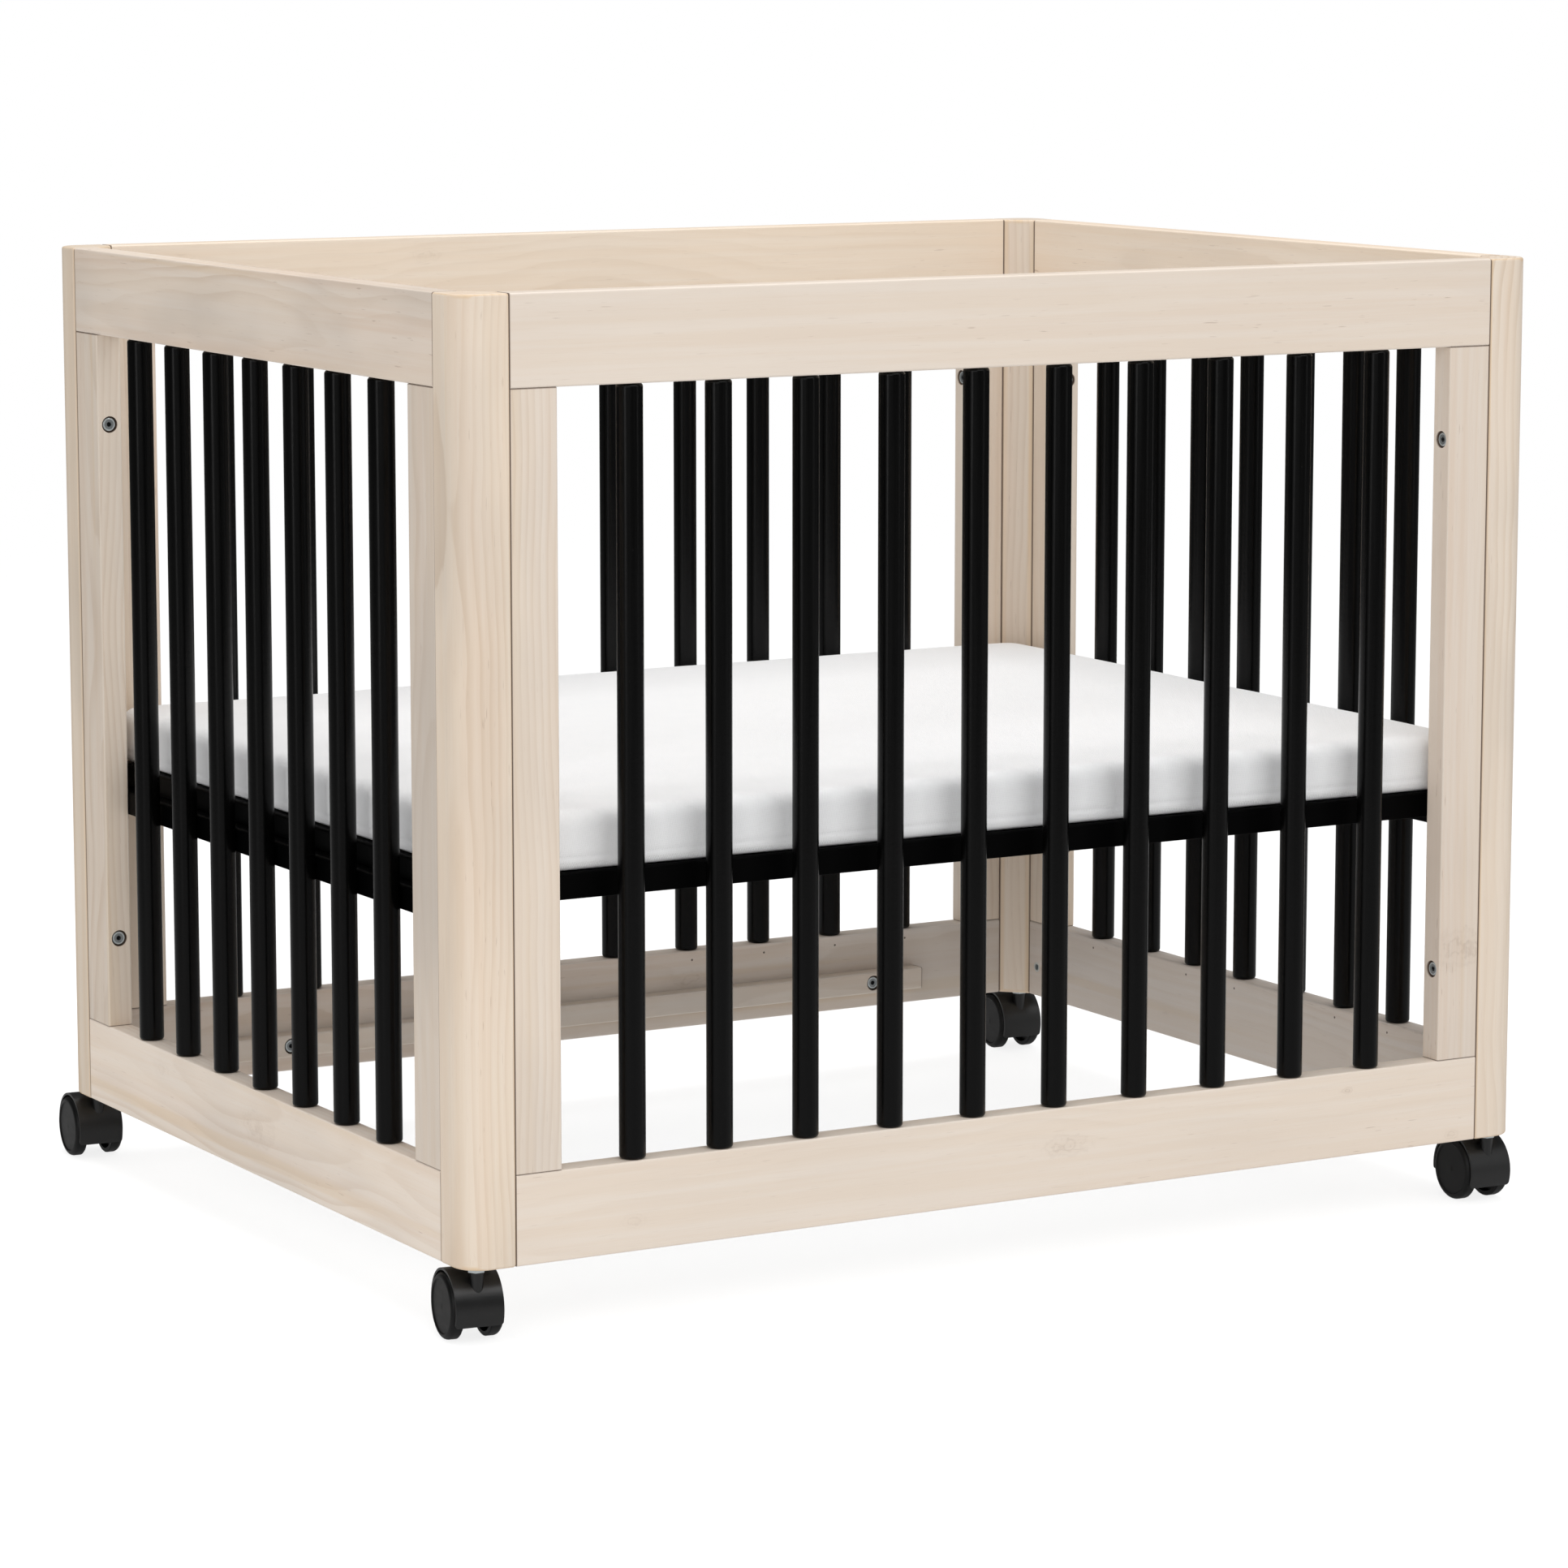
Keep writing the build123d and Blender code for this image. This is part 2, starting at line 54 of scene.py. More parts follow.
# Linear colours.
PINE = (0.785, 0.674, 0.566)
PINE_LATEWOOD = (0.600, 0.455, 0.330)
PINE_PINK = (0.735, 0.590, 0.480)
# the wash colour, also used for the painted highlight on eased edges
PINE_WASH_AND_HIGHLIGHT = (0.815, 0.735, 0.655)
PINE_BARE_EDGE = (0.700, 0.500, 0.290)
PINE_GOLD = (0.730, 0.560, 0.370)
PINE_GREY = (0.430, 0.395, 0.365)
PINE_DASH = (0.360, 0.240, 0.170)
# dark joint colour, also used for the painted shade on bolt-hole walls
SEAM_AND_HOLE_SHADE_BROWN = (0.110, 0.062, 0.040)
KNOT_BROWN = (0.330, 0.215, 0.140)
BLACK_LACQUER = (0.0007, 0.0007, 0.0007)
LACQUER_LINE = (0.0016, 0.0016, 0.0016)
LACQUER_SPECK = (0.16, 0.155, 0.15)
BLACK_STEEL = (0.0010, 0.0010, 0.0011)
STEEL_CLOUD = (0.0020, 0.0020, 0.0021)
BLACK_PLASTIC = (0.0022, 0.0022, 0.0023)
PLASTIC_FLOW = (0.0045, 0.0045, 0.0047)
PLASTIC_DUST = (0.20, 0.20, 0.20)
ZINC = (0.74, 0.79, 0.80)
ZINC_DULL = (0.56, 0.61, 0.62)
ZINC_DISH_SHADE = (0.16, 0.17, 0.175)
SOCKET_SHADE = (0.010, 0.011, 0.012)
COVER_WHITE = (0.94, 0.94, 0.945)
COVER_COOL = (0.91, 0.915, 0.925)
COVER_HOLLOW_SHADE = (0.72, 0.725, 0.74)
BEECH = (0.62, 0.43, 0.27)
BEECH_FLECK = (0.50, 0.33, 0.20)
FILLER_DARK = (0.10, 0.075, 0.06)
FILLER_PALE = (0.17, 0.13, 0.10)
FLOOR_WHITE = (0.93, 0.93, 0.93)
FLOOR_GRAIN = (0.92, 0.92, 0.92)

# Studio: the white room's strength, the floor's own glow, and the lights.
ROOM_LIGHT = 0.55            # on matt surfaces
ROOM_GLOSS = 0.10            # in reflections
FLOOR_GLOW = 0.48
FLOOR_SEE_THROUGH = 0.65
FLOOR_RADIUS = 9.0
FLOOR_FADE = (1.2, 6.5)      # distances between which the floor fades out
LIGHTS = {                   # place, aim, width and height, watts
    "front_high": ((0.6, -3.9, 3.9), (0.0, 0.0, 0.45), (4.8, 2.0), 66),
    "front_left": ((-3.0, -4.2, 1.7), (0.0, 0.0, 0.45), (2.4, 1.4), 26),
    "right_strip": ((3.4, -4.4, 1.6), (0.0, 0.0, 0.45), (0.5, 2.6), 12),
    "left_strip": ((-4.6, -2.4, 1.5), (0.0, 0.0, 0.45), (0.7, 2.8), 28),
    "top": ((0.0, 0.2, 3.9), (0.0, 0.0, 0.40), (3.0, 3.0), 75),
}


# ------------------------------------------------------------------ node helpers
class Shader:
    """One material's node tree, with short calls for the nodes that this scene uses."""

    def __init__(self, name):
        self.material = bpy.data.materials.new(name)
        self.material.use_nodes = True
        self.tree = self.material.node_tree
        self.surface = self.tree.nodes["Principled BSDF"]
        coordinates = self.tree.nodes.new("ShaderNodeTexCoord")
        self.place = coordinates.outputs["Object"]

    def feed(self, socket, value):
        """Link a socket, or set its default to a plain value."""
        if isinstance(value, bpy.types.NodeSocket):
            self.tree.links.new(value, socket)
        elif isinstance(value, tuple) and len(value) == 3 and socket.type == "RGBA":
            socket.default_value = (*value, 1.0)
        else:
            socket.default_value = value

    def math(self, operation, first, second=0.0, third=0.0):
        node = self.tree.nodes.new("ShaderNodeMath")
        node.operation = operation
        for socket, value in zip(node.inputs, (first, second, third)):
            self.feed(socket, value)
        return node.outputs[0]

    def vector(self, operation, first, second=(0.0, 0.0, 0.0)):
        node = self.tree.nodes.new("ShaderNodeVectorMath")
        node.operation = operation
        self.feed(node.inputs[0], first)
        self.feed(node.inputs[1], second)
        return node.outputs["Value" if operation == "LENGTH" else "Vector"]

    def split(self, vector):
        node = self.tree.nodes.new("ShaderNodeSeparateXYZ")
        self.feed(node.inputs[0], vector)
        return node.outputs

    def join(self, x, y, z):
        node = self.tree.nodes.new("ShaderNodeCombineXYZ")
        for socket, value in zip(node.inputs, (x, y, z)):
            self.feed(socket, value)
        return node.outputs[0]

    def noise(self, place, scale=1.0, detail=2.0, roughness=0.5, distortion=0.0):
        node = self.tree.nodes.new("ShaderNodeTexNoise")
        self.feed(node.inputs["Vector"], place)
        node.inputs["Scale"].default_value = scale
        node.inputs["Detail"].default_value = detail
        node.inputs["Roughness"].default_value = roughness
        node.inputs["Distortion"].default_value = distortion
        return node.outputs["Fac"]

    def streaks(self, place, across, along, detail=2.0, roughness=0.5, distortion=0.0):
        """Noise with one frequency across the third axis and another along it."""
        stretched = self.vector("MULTIPLY", place, (across, across, along))
        return self.noise(stretched, 1.0, detail, roughness, distortion)

    def ramp(self, value, low, high):
        """0 below low, 1 above high, smooth between."""
        node = self.tree.nodes.new("ShaderNodeMapRange")
        node.interpolation_type = "SMOOTHSTEP"
        self.feed(node.inputs["Value"], value)
        node.inputs["From Min"].default_value = low
        node.inputs["From Max"].default_value = high
        return node.outputs["Result"]

    def fall(self, value, low, high):
        """1 below low, 0 above high."""
        return self.math("SUBTRACT", 1.0, self.ramp(value, low, high))

    def span(self, value, low, high):
        """Map 0..1 to low..high."""
        return self.math("MULTIPLY_ADD", value, high - low, low)

    def mix(self, amount, first, second, blend="MIX"):
        node = self.tree.nodes.new("ShaderNodeMix")
        node.data_type = "RGBA"
        node.blend_type = blend
        self.feed(node.inputs["Factor"], amount)
        self.feed(node.inputs[6], first)
        self.feed(node.inputs[7], second)
        return node.outputs[2]

    def bump(self, height, distance):
        node = self.tree.nodes.new("ShaderNodeBump")
        node.inputs["Distance"].default_value = distance
        self.feed(node.inputs["Height"], height)
        return node.outputs["Normal"]

    def finish(self, **sockets):
        """Feed the Principled shader's sockets and return the material."""
        for name, value in sockets.items():
            self.feed(self.surface.inputs[name.replace("_", " ")], value)
        return self.material


# ------------------------------------------------------------------ wood
RING_GAP = 0.0062            # between growth rings
LATE_START = 0.35            # shares of a ring: where latewood starts and where it is darkest
LATE_PEAK = 0.93
POST_EDGE = (0.0020, 0.0045) # from a post's edge plane: bare wood within one, none past the other
SEAM_LINE = (0.0003, 0.0011) # the same for the dark line in a joint
HOLE_REACH = 0.0090          # a little over the radius of a counterbore
HOLE_SHADE_FADE = (0.0016, 0.0004) # how far short of a board's faces the painted shade on its hole walls fades out
KNOT_LINES = 2.2             # curved lines in a knot's radius
GRAIN_ORDER = {"X": (1, 2, 0), "Y": (0, 2, 1), "Z": (0, 1, 2)}


def board_frame(shader, node, grain):
    """Coordinates of a board from its own middle: two across the grain, then one along it."""
    low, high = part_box(node)
    middle = (low + high) / 2
    centred = shader.vector("SUBTRACT", shader.place, tuple(middle))
    parts = shader.split(centred)
    order = GRAIN_ORDER[grain]
    return shader.join(parts[order[0]], parts[order[1]], parts[order[2]])


def knot_marks(shader, board, knots):
    """Soft smudges crossed by curved lines; each is (across, across, along, radius, strength)."""
    total = None
    wobble = shader.noise(board, 75.0, 3.0, 0.6)
    grit = shader.streaks(board, 500.0, 60.0, 3.0, 0.6)
    for across_a, across_b, along, radius, strength in knots:
        offset = shader.vector("SUBTRACT", board, (across_a, across_b, along))
        squashed = shader.vector("MULTIPLY", offset, (0.2, 1.0, 0.45))
        bend = shader.math("MULTIPLY", wobble, radius * 1.5)
        distance = shader.math("ADD", shader.vector("LENGTH", squashed), bend)
        cloud = shader.fall(distance, radius * 0.8, radius * 2.0)
        arcs = shader.math("SINE", shader.math("MULTIPLY", distance, math.tau * KNOT_LINES / radius))
        lined = shader.math("MULTIPLY", cloud, shader.span(shader.ramp(arcs, -0.4, 1.0), 0.35, 1.0))
        broken = shader.math("MULTIPLY", lined, shader.span(shader.ramp(grit, 0.35, 0.65), 0.4, 1.0))
        mark = shader.math("MULTIPLY", broken, strength)
        total = mark if total is None else shader.math("MAXIMUM", total, mark)
    return total


def near_planes(shader, planes, full, none):
    """1 within one distance of any of the planes (axis, value), falling to 0 at another."""
    parts = shader.split(shader.place)
    near = None
    for axis, value in planes:
        gap = shader.math("ABSOLUTE", shader.math("SUBTRACT", parts[axis], value))
        close = shader.fall(gap, full, none)
        near = close if near is None else shader.math("MAXIMUM", near, close)
    return near


def hole_wall_shade(shader, node, grain):
    """1 where painted shade goes on the walls of a board's bolt holes: inside the board, near its
    middle plane.
    """
    low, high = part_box(node)
    half = (high - low) / 2
    parts = shader.split(shader.vector("SUBTRACT", shader.place, tuple((low + high) / 2)))
    along = "XYZ".index(grain)
    bolt = 1 if node.endswith("_cleat") or node.startswith(("left", "right")) else 0
    beside = 3 - along - bolt
    total = 1.0
    for axis, reach in ((along, half[along]), (bolt, half[bolt]), (beside, HOLE_REACH)):
        gap = shader.math("ABSOLUTE", parts[axis])
        within = shader.fall(gap, reach - HOLE_SHADE_FADE[0], reach - HOLE_SHADE_FADE[1])
        total = shader.math("MULTIPLY", total, within)
    return total


def growth_rings(shader, board, shifted, seed):
    """Latewood of rings round a pith that wanders along the board, well outside it."""
    drift = shader.streaks(shifted, 0.0, 1.6)
    drift_b = shader.streaks(shifted, 3.0, 2.3, 3.0, 0.55)
    side = 1 if seed % 2 else -1
    pith = shader.join(
        shader.math("MULTIPLY_ADD", drift, 0.060, side * (0.045 + 0.012 * (seed % 5)) - 0.03),
        shader.math("MULTIPLY_ADD", drift_b, 0.050, 0.010 * ((seed % 7) - 3) - 0.025),
        0.0,
    )
    flat_place = shader.vector("MULTIPLY", board, (1.0, 1.0, 0.0))
    radius = shader.vector("LENGTH", shader.vector("SUBTRACT", flat_place, pith))
    ripple = shader.streaks(shifted, 28.0, 5.0, 3.0, 0.5)
    ring_place = shader.math("MULTIPLY_ADD", ripple, 1.1, shader.math("MULTIPLY", radius, 1 / RING_GAP))
    ring = shader.math("FRACT", ring_place)
    late_rise = shader.ramp(ring, LATE_START, LATE_PEAK)
    return shader.math("MULTIPLY", late_rise, shader.fall(ring, LATE_PEAK, 1.0))


def edge_highlight_and_wear(shader, node, streak, colour):
    """On a rail or stile the eased edges, whose normals lie between the axes, get a painted highlight
    towards the wash colour;
    beside a post's panels the wash rubs through to bare wood."""
    geometry = shader.tree.nodes.new("ShaderNodeNewGeometry")
    normal = shader.split(shader.vector("ABSOLUTE", geometry.outputs["Normal"]))
    steepest = shader.math("MAXIMUM", shader.math("MAXIMUM", normal[0], normal[1]), normal[2])
    rounding = shader.fall(steepest, 0.72, 0.97)
    if not node.startswith("post_"):
        # painted highlight on the eased edges of rails and stiles
        return shader.mix(shader.math("MULTIPLY", rounding, 0.55), colour, PINE_WASH_AND_HIGHLIGHT)
    near = near_planes(shader, post_edge_planes(node), *POST_EDGE)
    rounding = shader.math("MULTIPLY", near, shader.ramp(rounding, 0.0, 0.5))
    patchy = shader.span(shader.ramp(streak, 0.35, 0.65), 0.20, 0.58)
    return shader.mix(shader.math("MULTIPLY", rounding, patchy), colour, PINE_BARE_EDGE)


def pine(node, grain, seed, look, knots=()):
    """Whitewashed pine: growth rings cut by the board's faces, fibre streaks, a patchy wash,
    eased edges with a painted highlight (worn to bare wood on posts), dark joints and painted shade on
    bolt-hole walls. The look is its lightness (its own tone together with painted light and shade),
    warmth, grey stain and figure."""
    tone_and_light, warmth, grey, figure = look
    shader = Shader(f"pine_{node}")
    board = board_frame(shader, node, grain)
    shifted = shader.vector("ADD", board, (seed * 1.37, seed * 2.11, seed * 3.73))
    latewood = growth_rings(shader, board, shifted, seed)

    # Patches, streaks and fibres, all drawn out along the grain.
    ring_patch = shader.ramp(shader.streaks(shifted, 9.0, 1.7), 0.38, 0.68)
    streak = shader.streaks(shifted, 95.0, 1.9, 4.0, 0.62)
    broad = shader.streaks(shifted, 26.0, 1.1)
    fibre = shader.streaks(shifted, 900.0, 22.0, 3.0, 0.6)
    cloud = shader.streaks(shifted, 7.0, 3.0, 3.0, 0.5)
    dashes = shader.streaks(shifted, 620.0, 46.0, 1.0)
    gold = shader.streaks(shifted, 60.0, 0.9)

    pink = shader.math("MULTIPLY", shader.ramp(broad, 0.42, 0.72), min(0.40 * figure, 0.85))
    colour = shader.mix(pink, PINE, PINE_PINK)
    wash = shader.math("MULTIPLY", shader.ramp(streak, 0.40, 0.66), 0.50)
    colour = shader.mix(wash, colour, PINE_WASH_AND_HIGHLIGHT)
    ring_strength = shader.span(ring_patch, 0.05 * figure, 0.26 * figure)
    ring_amount = shader.math("MULTIPLY", latewood, ring_strength)
    colour = shader.mix(ring_amount, colour, PINE_LATEWOOD)
    fibre_amount = shader.math("MULTIPLY", shader.ramp(fibre, 0.52, 0.75), 0.10)
    colour = shader.mix(fibre_amount, colour, PINE_LATEWOOD)
    crowded = shader.span(shader.ramp(broad, 0.40, 0.70), 0.10, 0.50)
    dash_amount = shader.math("MULTIPLY", shader.ramp(dashes, 0.70, 0.78), crowded)
    colour = shader.mix(dash_amount, colour, PINE_DASH)
    gold_amount = shader.math("MULTIPLY", shader.ramp(gold, 0.56, 0.72), 0.34 * max(figure - 0.4, 0.0))
    colour = shader.mix(gold_amount, colour, PINE_GOLD)
    stain = shader.math("MULTIPLY", shader.ramp(cloud, 0.44, 0.70), 0.14 * figure + grey)
    colour = shader.mix(stain, colour, PINE_GREY)

    colour = edge_highlight_and_wear(shader, node, streak, colour)
    seams = near_planes(shader, seam_planes(node), *SEAM_LINE)
    colour = shader.mix(shader.math("MULTIPLY", seams, 0.80), colour, SEAM_AND_HOLE_SHADE_BROWN)
    if "_stile_" in node or node.endswith("_cleat"):
        # painted shade on the walls of the bolt holes
        hole_shade = shader.math("MULTIPLY", hole_wall_shade(shader, node, grain), 0.9)
        colour = shader.mix(hole_shade, colour, SEAM_AND_HOLE_SHADE_BROWN)
    if knots:
        colour = shader.mix(knot_marks(shader, board, knots), colour, KNOT_BROWN)
    # the lightness multiplied in here is the board's own tone together with painted light and shade
    cast = (tone_and_light, tone_and_light * (1 - 0.030 * warmth), tone_and_light * (1 - 0.085 * warmth))
    colour = shader.mix(1.0, colour, cast, "MULTIPLY")

    grain_height = shader.math("MULTIPLY_ADD", fibre, 0.6, shader.math("MULTIPLY", latewood, -0.25))
    relief = shader.bump(grain_height, 0.00006)
    satin = shader.math("MULTIPLY_ADD", streak, 0.16, 0.46)
    return shader.finish(Base_Color=colour, Roughness=satin, Normal=relief)


# Knots by board: two distances across from its middle, one along it, a radius and a strength.
KNOTS = {
    "front_bottom_rail": [
        (-0.0115, 0.004, 0.046, 0.0130, 0.26),
        (-0.0115, 0.021, 0.338, 0.0035, 0.60),
        (-0.0115, -0.030, 0.452, 0.0050, 0.22),
        (-0.0115, -0.012, -0.370, 0.0080, 0.12),
    ],
    "left_bottom_rail": [
        (-0.0115, 0.004, -0.010, 0.0190, 0.22),
        (-0.0115, 0.020, 0.200, 0.0100, 0.12),
    ],
    "right_bottom_rail": [(0.0115, -0.016, 0.120, 0.0060, 0.40)],
    "front_stile_right": [(0.0, -0.0115, -0.215, 0.0100, 0.30)],
    "back_bottom_rail": [(-0.0115, 0.010, 0.120, 0.0100, 0.30)],
    "back_top_rail": [(-0.0115, 0.020, -0.160, 0.0080, 0.16)],
}

# How light, warm and grey each board is, and how strong its figure. The lightness holds each board's
# own tone and also painted light and shade: boards inside the crib are darkened, some boards lightened,
# to stand for how light falls on them.
BOARD_LOOK_AND_LIGHT = {
    "front_top_rail": (0.965, 0.0, 0.00, 0.45),
    "front_bottom_rail": (1.00, 0.0, 0.00, 0.50),
    "left_top_rail": (1.02, 0.2, 0.06, 2.30),
    "left_bottom_rail": (1.12, 0.0, 0.03, 1.60),
    "left_stile_front": (0.92, 0.2, 0.14, 1.30),
    "left_stile_back": (0.92, 0.3, 0.06, 1.70),
    "front_stile_left": (0.98, 0.2, 0.00, 1.30),
    "front_stile_right": (0.93, 0.1, 0.00, 1.20),
    "post_front_left": (1.02, 0.9, 0.00, 1.90),
    "post_front_right": (0.98, 0.6, 0.00, 2.00),
    "post_back_left": (0.97, 1.1, 0.02, 1.90),
    "back_top_rail": (1.03, 0.9, 0.00, 0.65),
    "right_top_rail": (1.09, 0.8, 0.00, 1.00),
    "back_bottom_rail": (0.86, -0.4, 0.08, 1.60),
    "back_cleat": (0.84, 0.0, 0.06, 1.60),
    "right_bottom_rail": (0.87, -0.8, 0.08, 1.10),
}
PLAIN_BOARD = (0.98, 0.4, 0.02, 1.30)


def grain_of(node):
    """A board's grain runs along its longest side."""
    low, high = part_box(node)
    size = high - low
    return "XYZ"[max(range(3), key=lambda axis: size[axis])]


def inner_faces(node):
    """The planes where a post's two inner sides stand: one across X and one across Y."""
    low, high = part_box(node)
    middle = (low + high) / 2
    front_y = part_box("front_top_rail")[0].y
    back_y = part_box("back_top_rail")[1].y
    inner_x = low.x if middle.x > 0 else high.x
    inner_y = low.y if middle.y > (front_y + back_y) / 2 else high.y
    return [(0, inner_x), (1, inner_y)]


def post_edge_planes(node):
    """The eased edges of a post: beside its two panels, and at its top and foot."""
    low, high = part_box(node)
    return inner_faces(node) + [(2, high.z), (2, low.z)]


def seam_planes(node):
    """The planes where a board meets its neighbours, and dark wash has run into the joint."""
    if node.startswith("post_"):
        return inner_faces(node)
    low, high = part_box(node)
    axis = max(range(3), key=lambda way: high[way] - low[way])
    planes = [(axis, low[axis]), (axis, high[axis])]
    if "_stile_" in node:
        middle = (low + high) / 2
        run = 0 if node.startswith(("front", "back")) else 1
        outer = high[run] if middle[run] > 0 else low[run]
        planes.append((run, outer))
    return planes


def paint_wood():
    boards = sorted(name for name in nodes if wood_node(name))
    for seed, name in enumerate(boards, start=3):
        look = BOARD_LOOK_AND_LIGHT.get(name, PLAIN_BOARD)
        assign(name, pine(name, grain_of(name), seed, look, KNOTS.get(name, ())))


def wood_node(name):
    if name == "post_inserts":
        return False
    return name.startswith("post_") or name.endswith(("_rail", "_cleat")) or "_stile_" in name


def assign(name, material):
    """Give every material slot of a CAD node one material."""
    mesh = nodes[name].data
    for index in range(len(mesh.materials)):
        mesh.materials[index] = material


# ------------------------------------------------------------------ other materials
BOLT_HEAD_RADIUS = 0.006
DISH_EDGE = (0.0040, 0.0048)   # radii between which the painted shade of a bolt head's dish ends, and that of its socket
SOCKET_EDGE = (0.0018, 0.0025)
KNIT_LOOP = 0.0016             # width of the cover's loops; they are taller than wide
KNIT_LOOP_STRETCH = 1.3


def lacquered_black():
    """Satin black paint on turned wood: faint brush lines along the bar and a few pale specks."""
    shader = Shader("black_lacquer")
    lines = shader.streaks(shader.place, 420.0, 9.0, 3.0, 0.6)
    skin = shader.noise(shader.place, 260.0, 3.0, 0.55)
    specks = shader.ramp(shader.noise(shader.place, 900.0, 1.0), 0.80, 0.86)
    patches = shader.ramp(shader.noise(shader.place, 35.0, 2.0), 0.52, 0.66)
    worn = shader.math("MULTIPLY", specks, patches)
    colour = shader.mix(shader.ramp(lines, 0.3, 0.7), BLACK_LACQUER, LACQUER_LINE)
    colour = shader.mix(shader.math("MULTIPLY", worn, 0.5), colour, LACQUER_SPECK)
    height = shader.math("MULTIPLY_ADD", lines, 0.5, skin)
    shader.surface.inputs["Specular IOR Level"].default_value = 0.17
    return shader.finish(
        Base_Color=colour,
        Roughness=shader.span(lines, 0.20, 0.30),
        Normal=shader.bump(height, 0.00008),
    )


def powder_black():
    """Fine-grained black powder coat on steel."""
    shader = Shader("black_powder_coat")
    grain = shader.noise(shader.place, 1500.0, 2.0, 0.6)
    cloud = shader.noise(shader.place, 14.0, 3.0, 0.5)
    colour = shader.mix(cloud, BLACK_STEEL, STEEL_CLOUD)
    shader.surface.inputs["Specular IOR Level"].default_value = 0.03
    return shader.finish(
        Base_Color=colour,
        Roughness=shader.span(cloud, 0.36, 0.52),
        Normal=shader.bump(grain, 0.00007),
    )


def moulded_black(name, low_rough, high_rough, specular):
    """Moulded nylon with a fine spark-eroded skin and slight flow marks."""
    shader = Shader(name)
    skin = shader.noise(shader.place, 2600.0, 2.0, 0.6)
    flow = shader.streaks(shader.place, 60.0, 180.0, 3.0, 0.55, 0.6)
    dust = shader.ramp(shader.noise(shader.place, 420.0, 3.0, 0.7), 0.60, 0.78)
    colour = shader.mix(flow, BLACK_PLASTIC, PLASTIC_FLOW)
    colour = shader.mix(shader.math("MULTIPLY", dust, 0.03), colour, PLASTIC_DUST)
    height = shader.math("MULTIPLY_ADD", flow, 0.8, skin)
    shader.surface.inputs["Specular IOR Level"].default_value = specular
    return shader.finish(
        Base_Color=colour,
        Roughness=shader.span(flow, low_rough, high_rough),
        Normal=shader.bump(height, 0.00005),
    )


def off_bolt_axis(shader, node):
    """Distance from the nearest bolt's axis, for bolts set out evenly about a group's middle."""
    low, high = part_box(node)
    middle = (low + high) / 2
    parts = shader.split(shader.vector("SUBTRACT", shader.place, tuple(middle)))
    gaps = []
    for axis in range(3):
        reach = max(high[axis] - middle[axis] - BOLT_HEAD_RADIUS, 0.0)
        gap = shader.math("SUBTRACT", shader.math("ABSOLUTE", parts[axis]), reach)
        gaps.append(shader.math("ABSOLUTE", gap))
    beside = shader.math("MINIMUM", gaps[0], gaps[1])
    squares = shader.math("MULTIPLY_ADD", beside, beside, shader.math("MULTIPLY", gaps[2], gaps[2]))
    return shader.math("SQRT", squares)


def zinc_plate(bolts=""):
    """Bright zinc plate, slightly clouded; a bolt group gets painted shade on its heads' dishes and in
    their sockets.
    """
    shader = Shader(f"zinc_plate_{bolts}" if bolts else "zinc_plate")
    cloud = shader.noise(shader.place, 320.0, 3.0, 0.6)
    turning = shader.noise(shader.place, 2400.0, 2.0, 0.6)
    colour = shader.mix(cloud, ZINC, ZINC_DULL)
    if bolts:
        radius = off_bolt_axis(shader, bolts)
        # painted shade: the head's dish is darkened inside its rim, and the hex socket darker still
        dish_shade = shader.fall(radius, *DISH_EDGE)
        colour = shader.mix(shader.math("MULTIPLY", dish_shade, 0.75), colour, ZINC_DISH_SHADE)
        colour = shader.mix(shader.fall(radius, *SOCKET_EDGE), colour, SOCKET_SHADE)
    return shader.finish(
        Base_Color=colour,
        Metallic=0.70,
        Roughness=shader.span(cloud, 0.26, 0.42),
        Normal=shader.bump(turning, 0.00003),
    )


def bare_beech():
    """Plain beech for the hidden dowels."""
    shader = Shader("bare_beech")
    flecks = shader.streaks(shader.place, 700.0, 40.0, 3.0, 0.6)
    colour = shader.mix(flecks, BEECH, BEECH_FLECK)
    return shader.finish(Base_Color=colour, Roughness=shader.span(flecks, 0.55, 0.7))


def brad_filler():
    """Grey-brown filler over the brads."""
    shader = Shader("brad_filler")
    speck = shader.noise(shader.place, 1800.0, 2.0)
    colour = shader.mix(speck, FILLER_DARK, FILLER_PALE)
    return shader.finish(Base_Color=colour, Roughness=shader.span(speck, 0.6, 0.8))


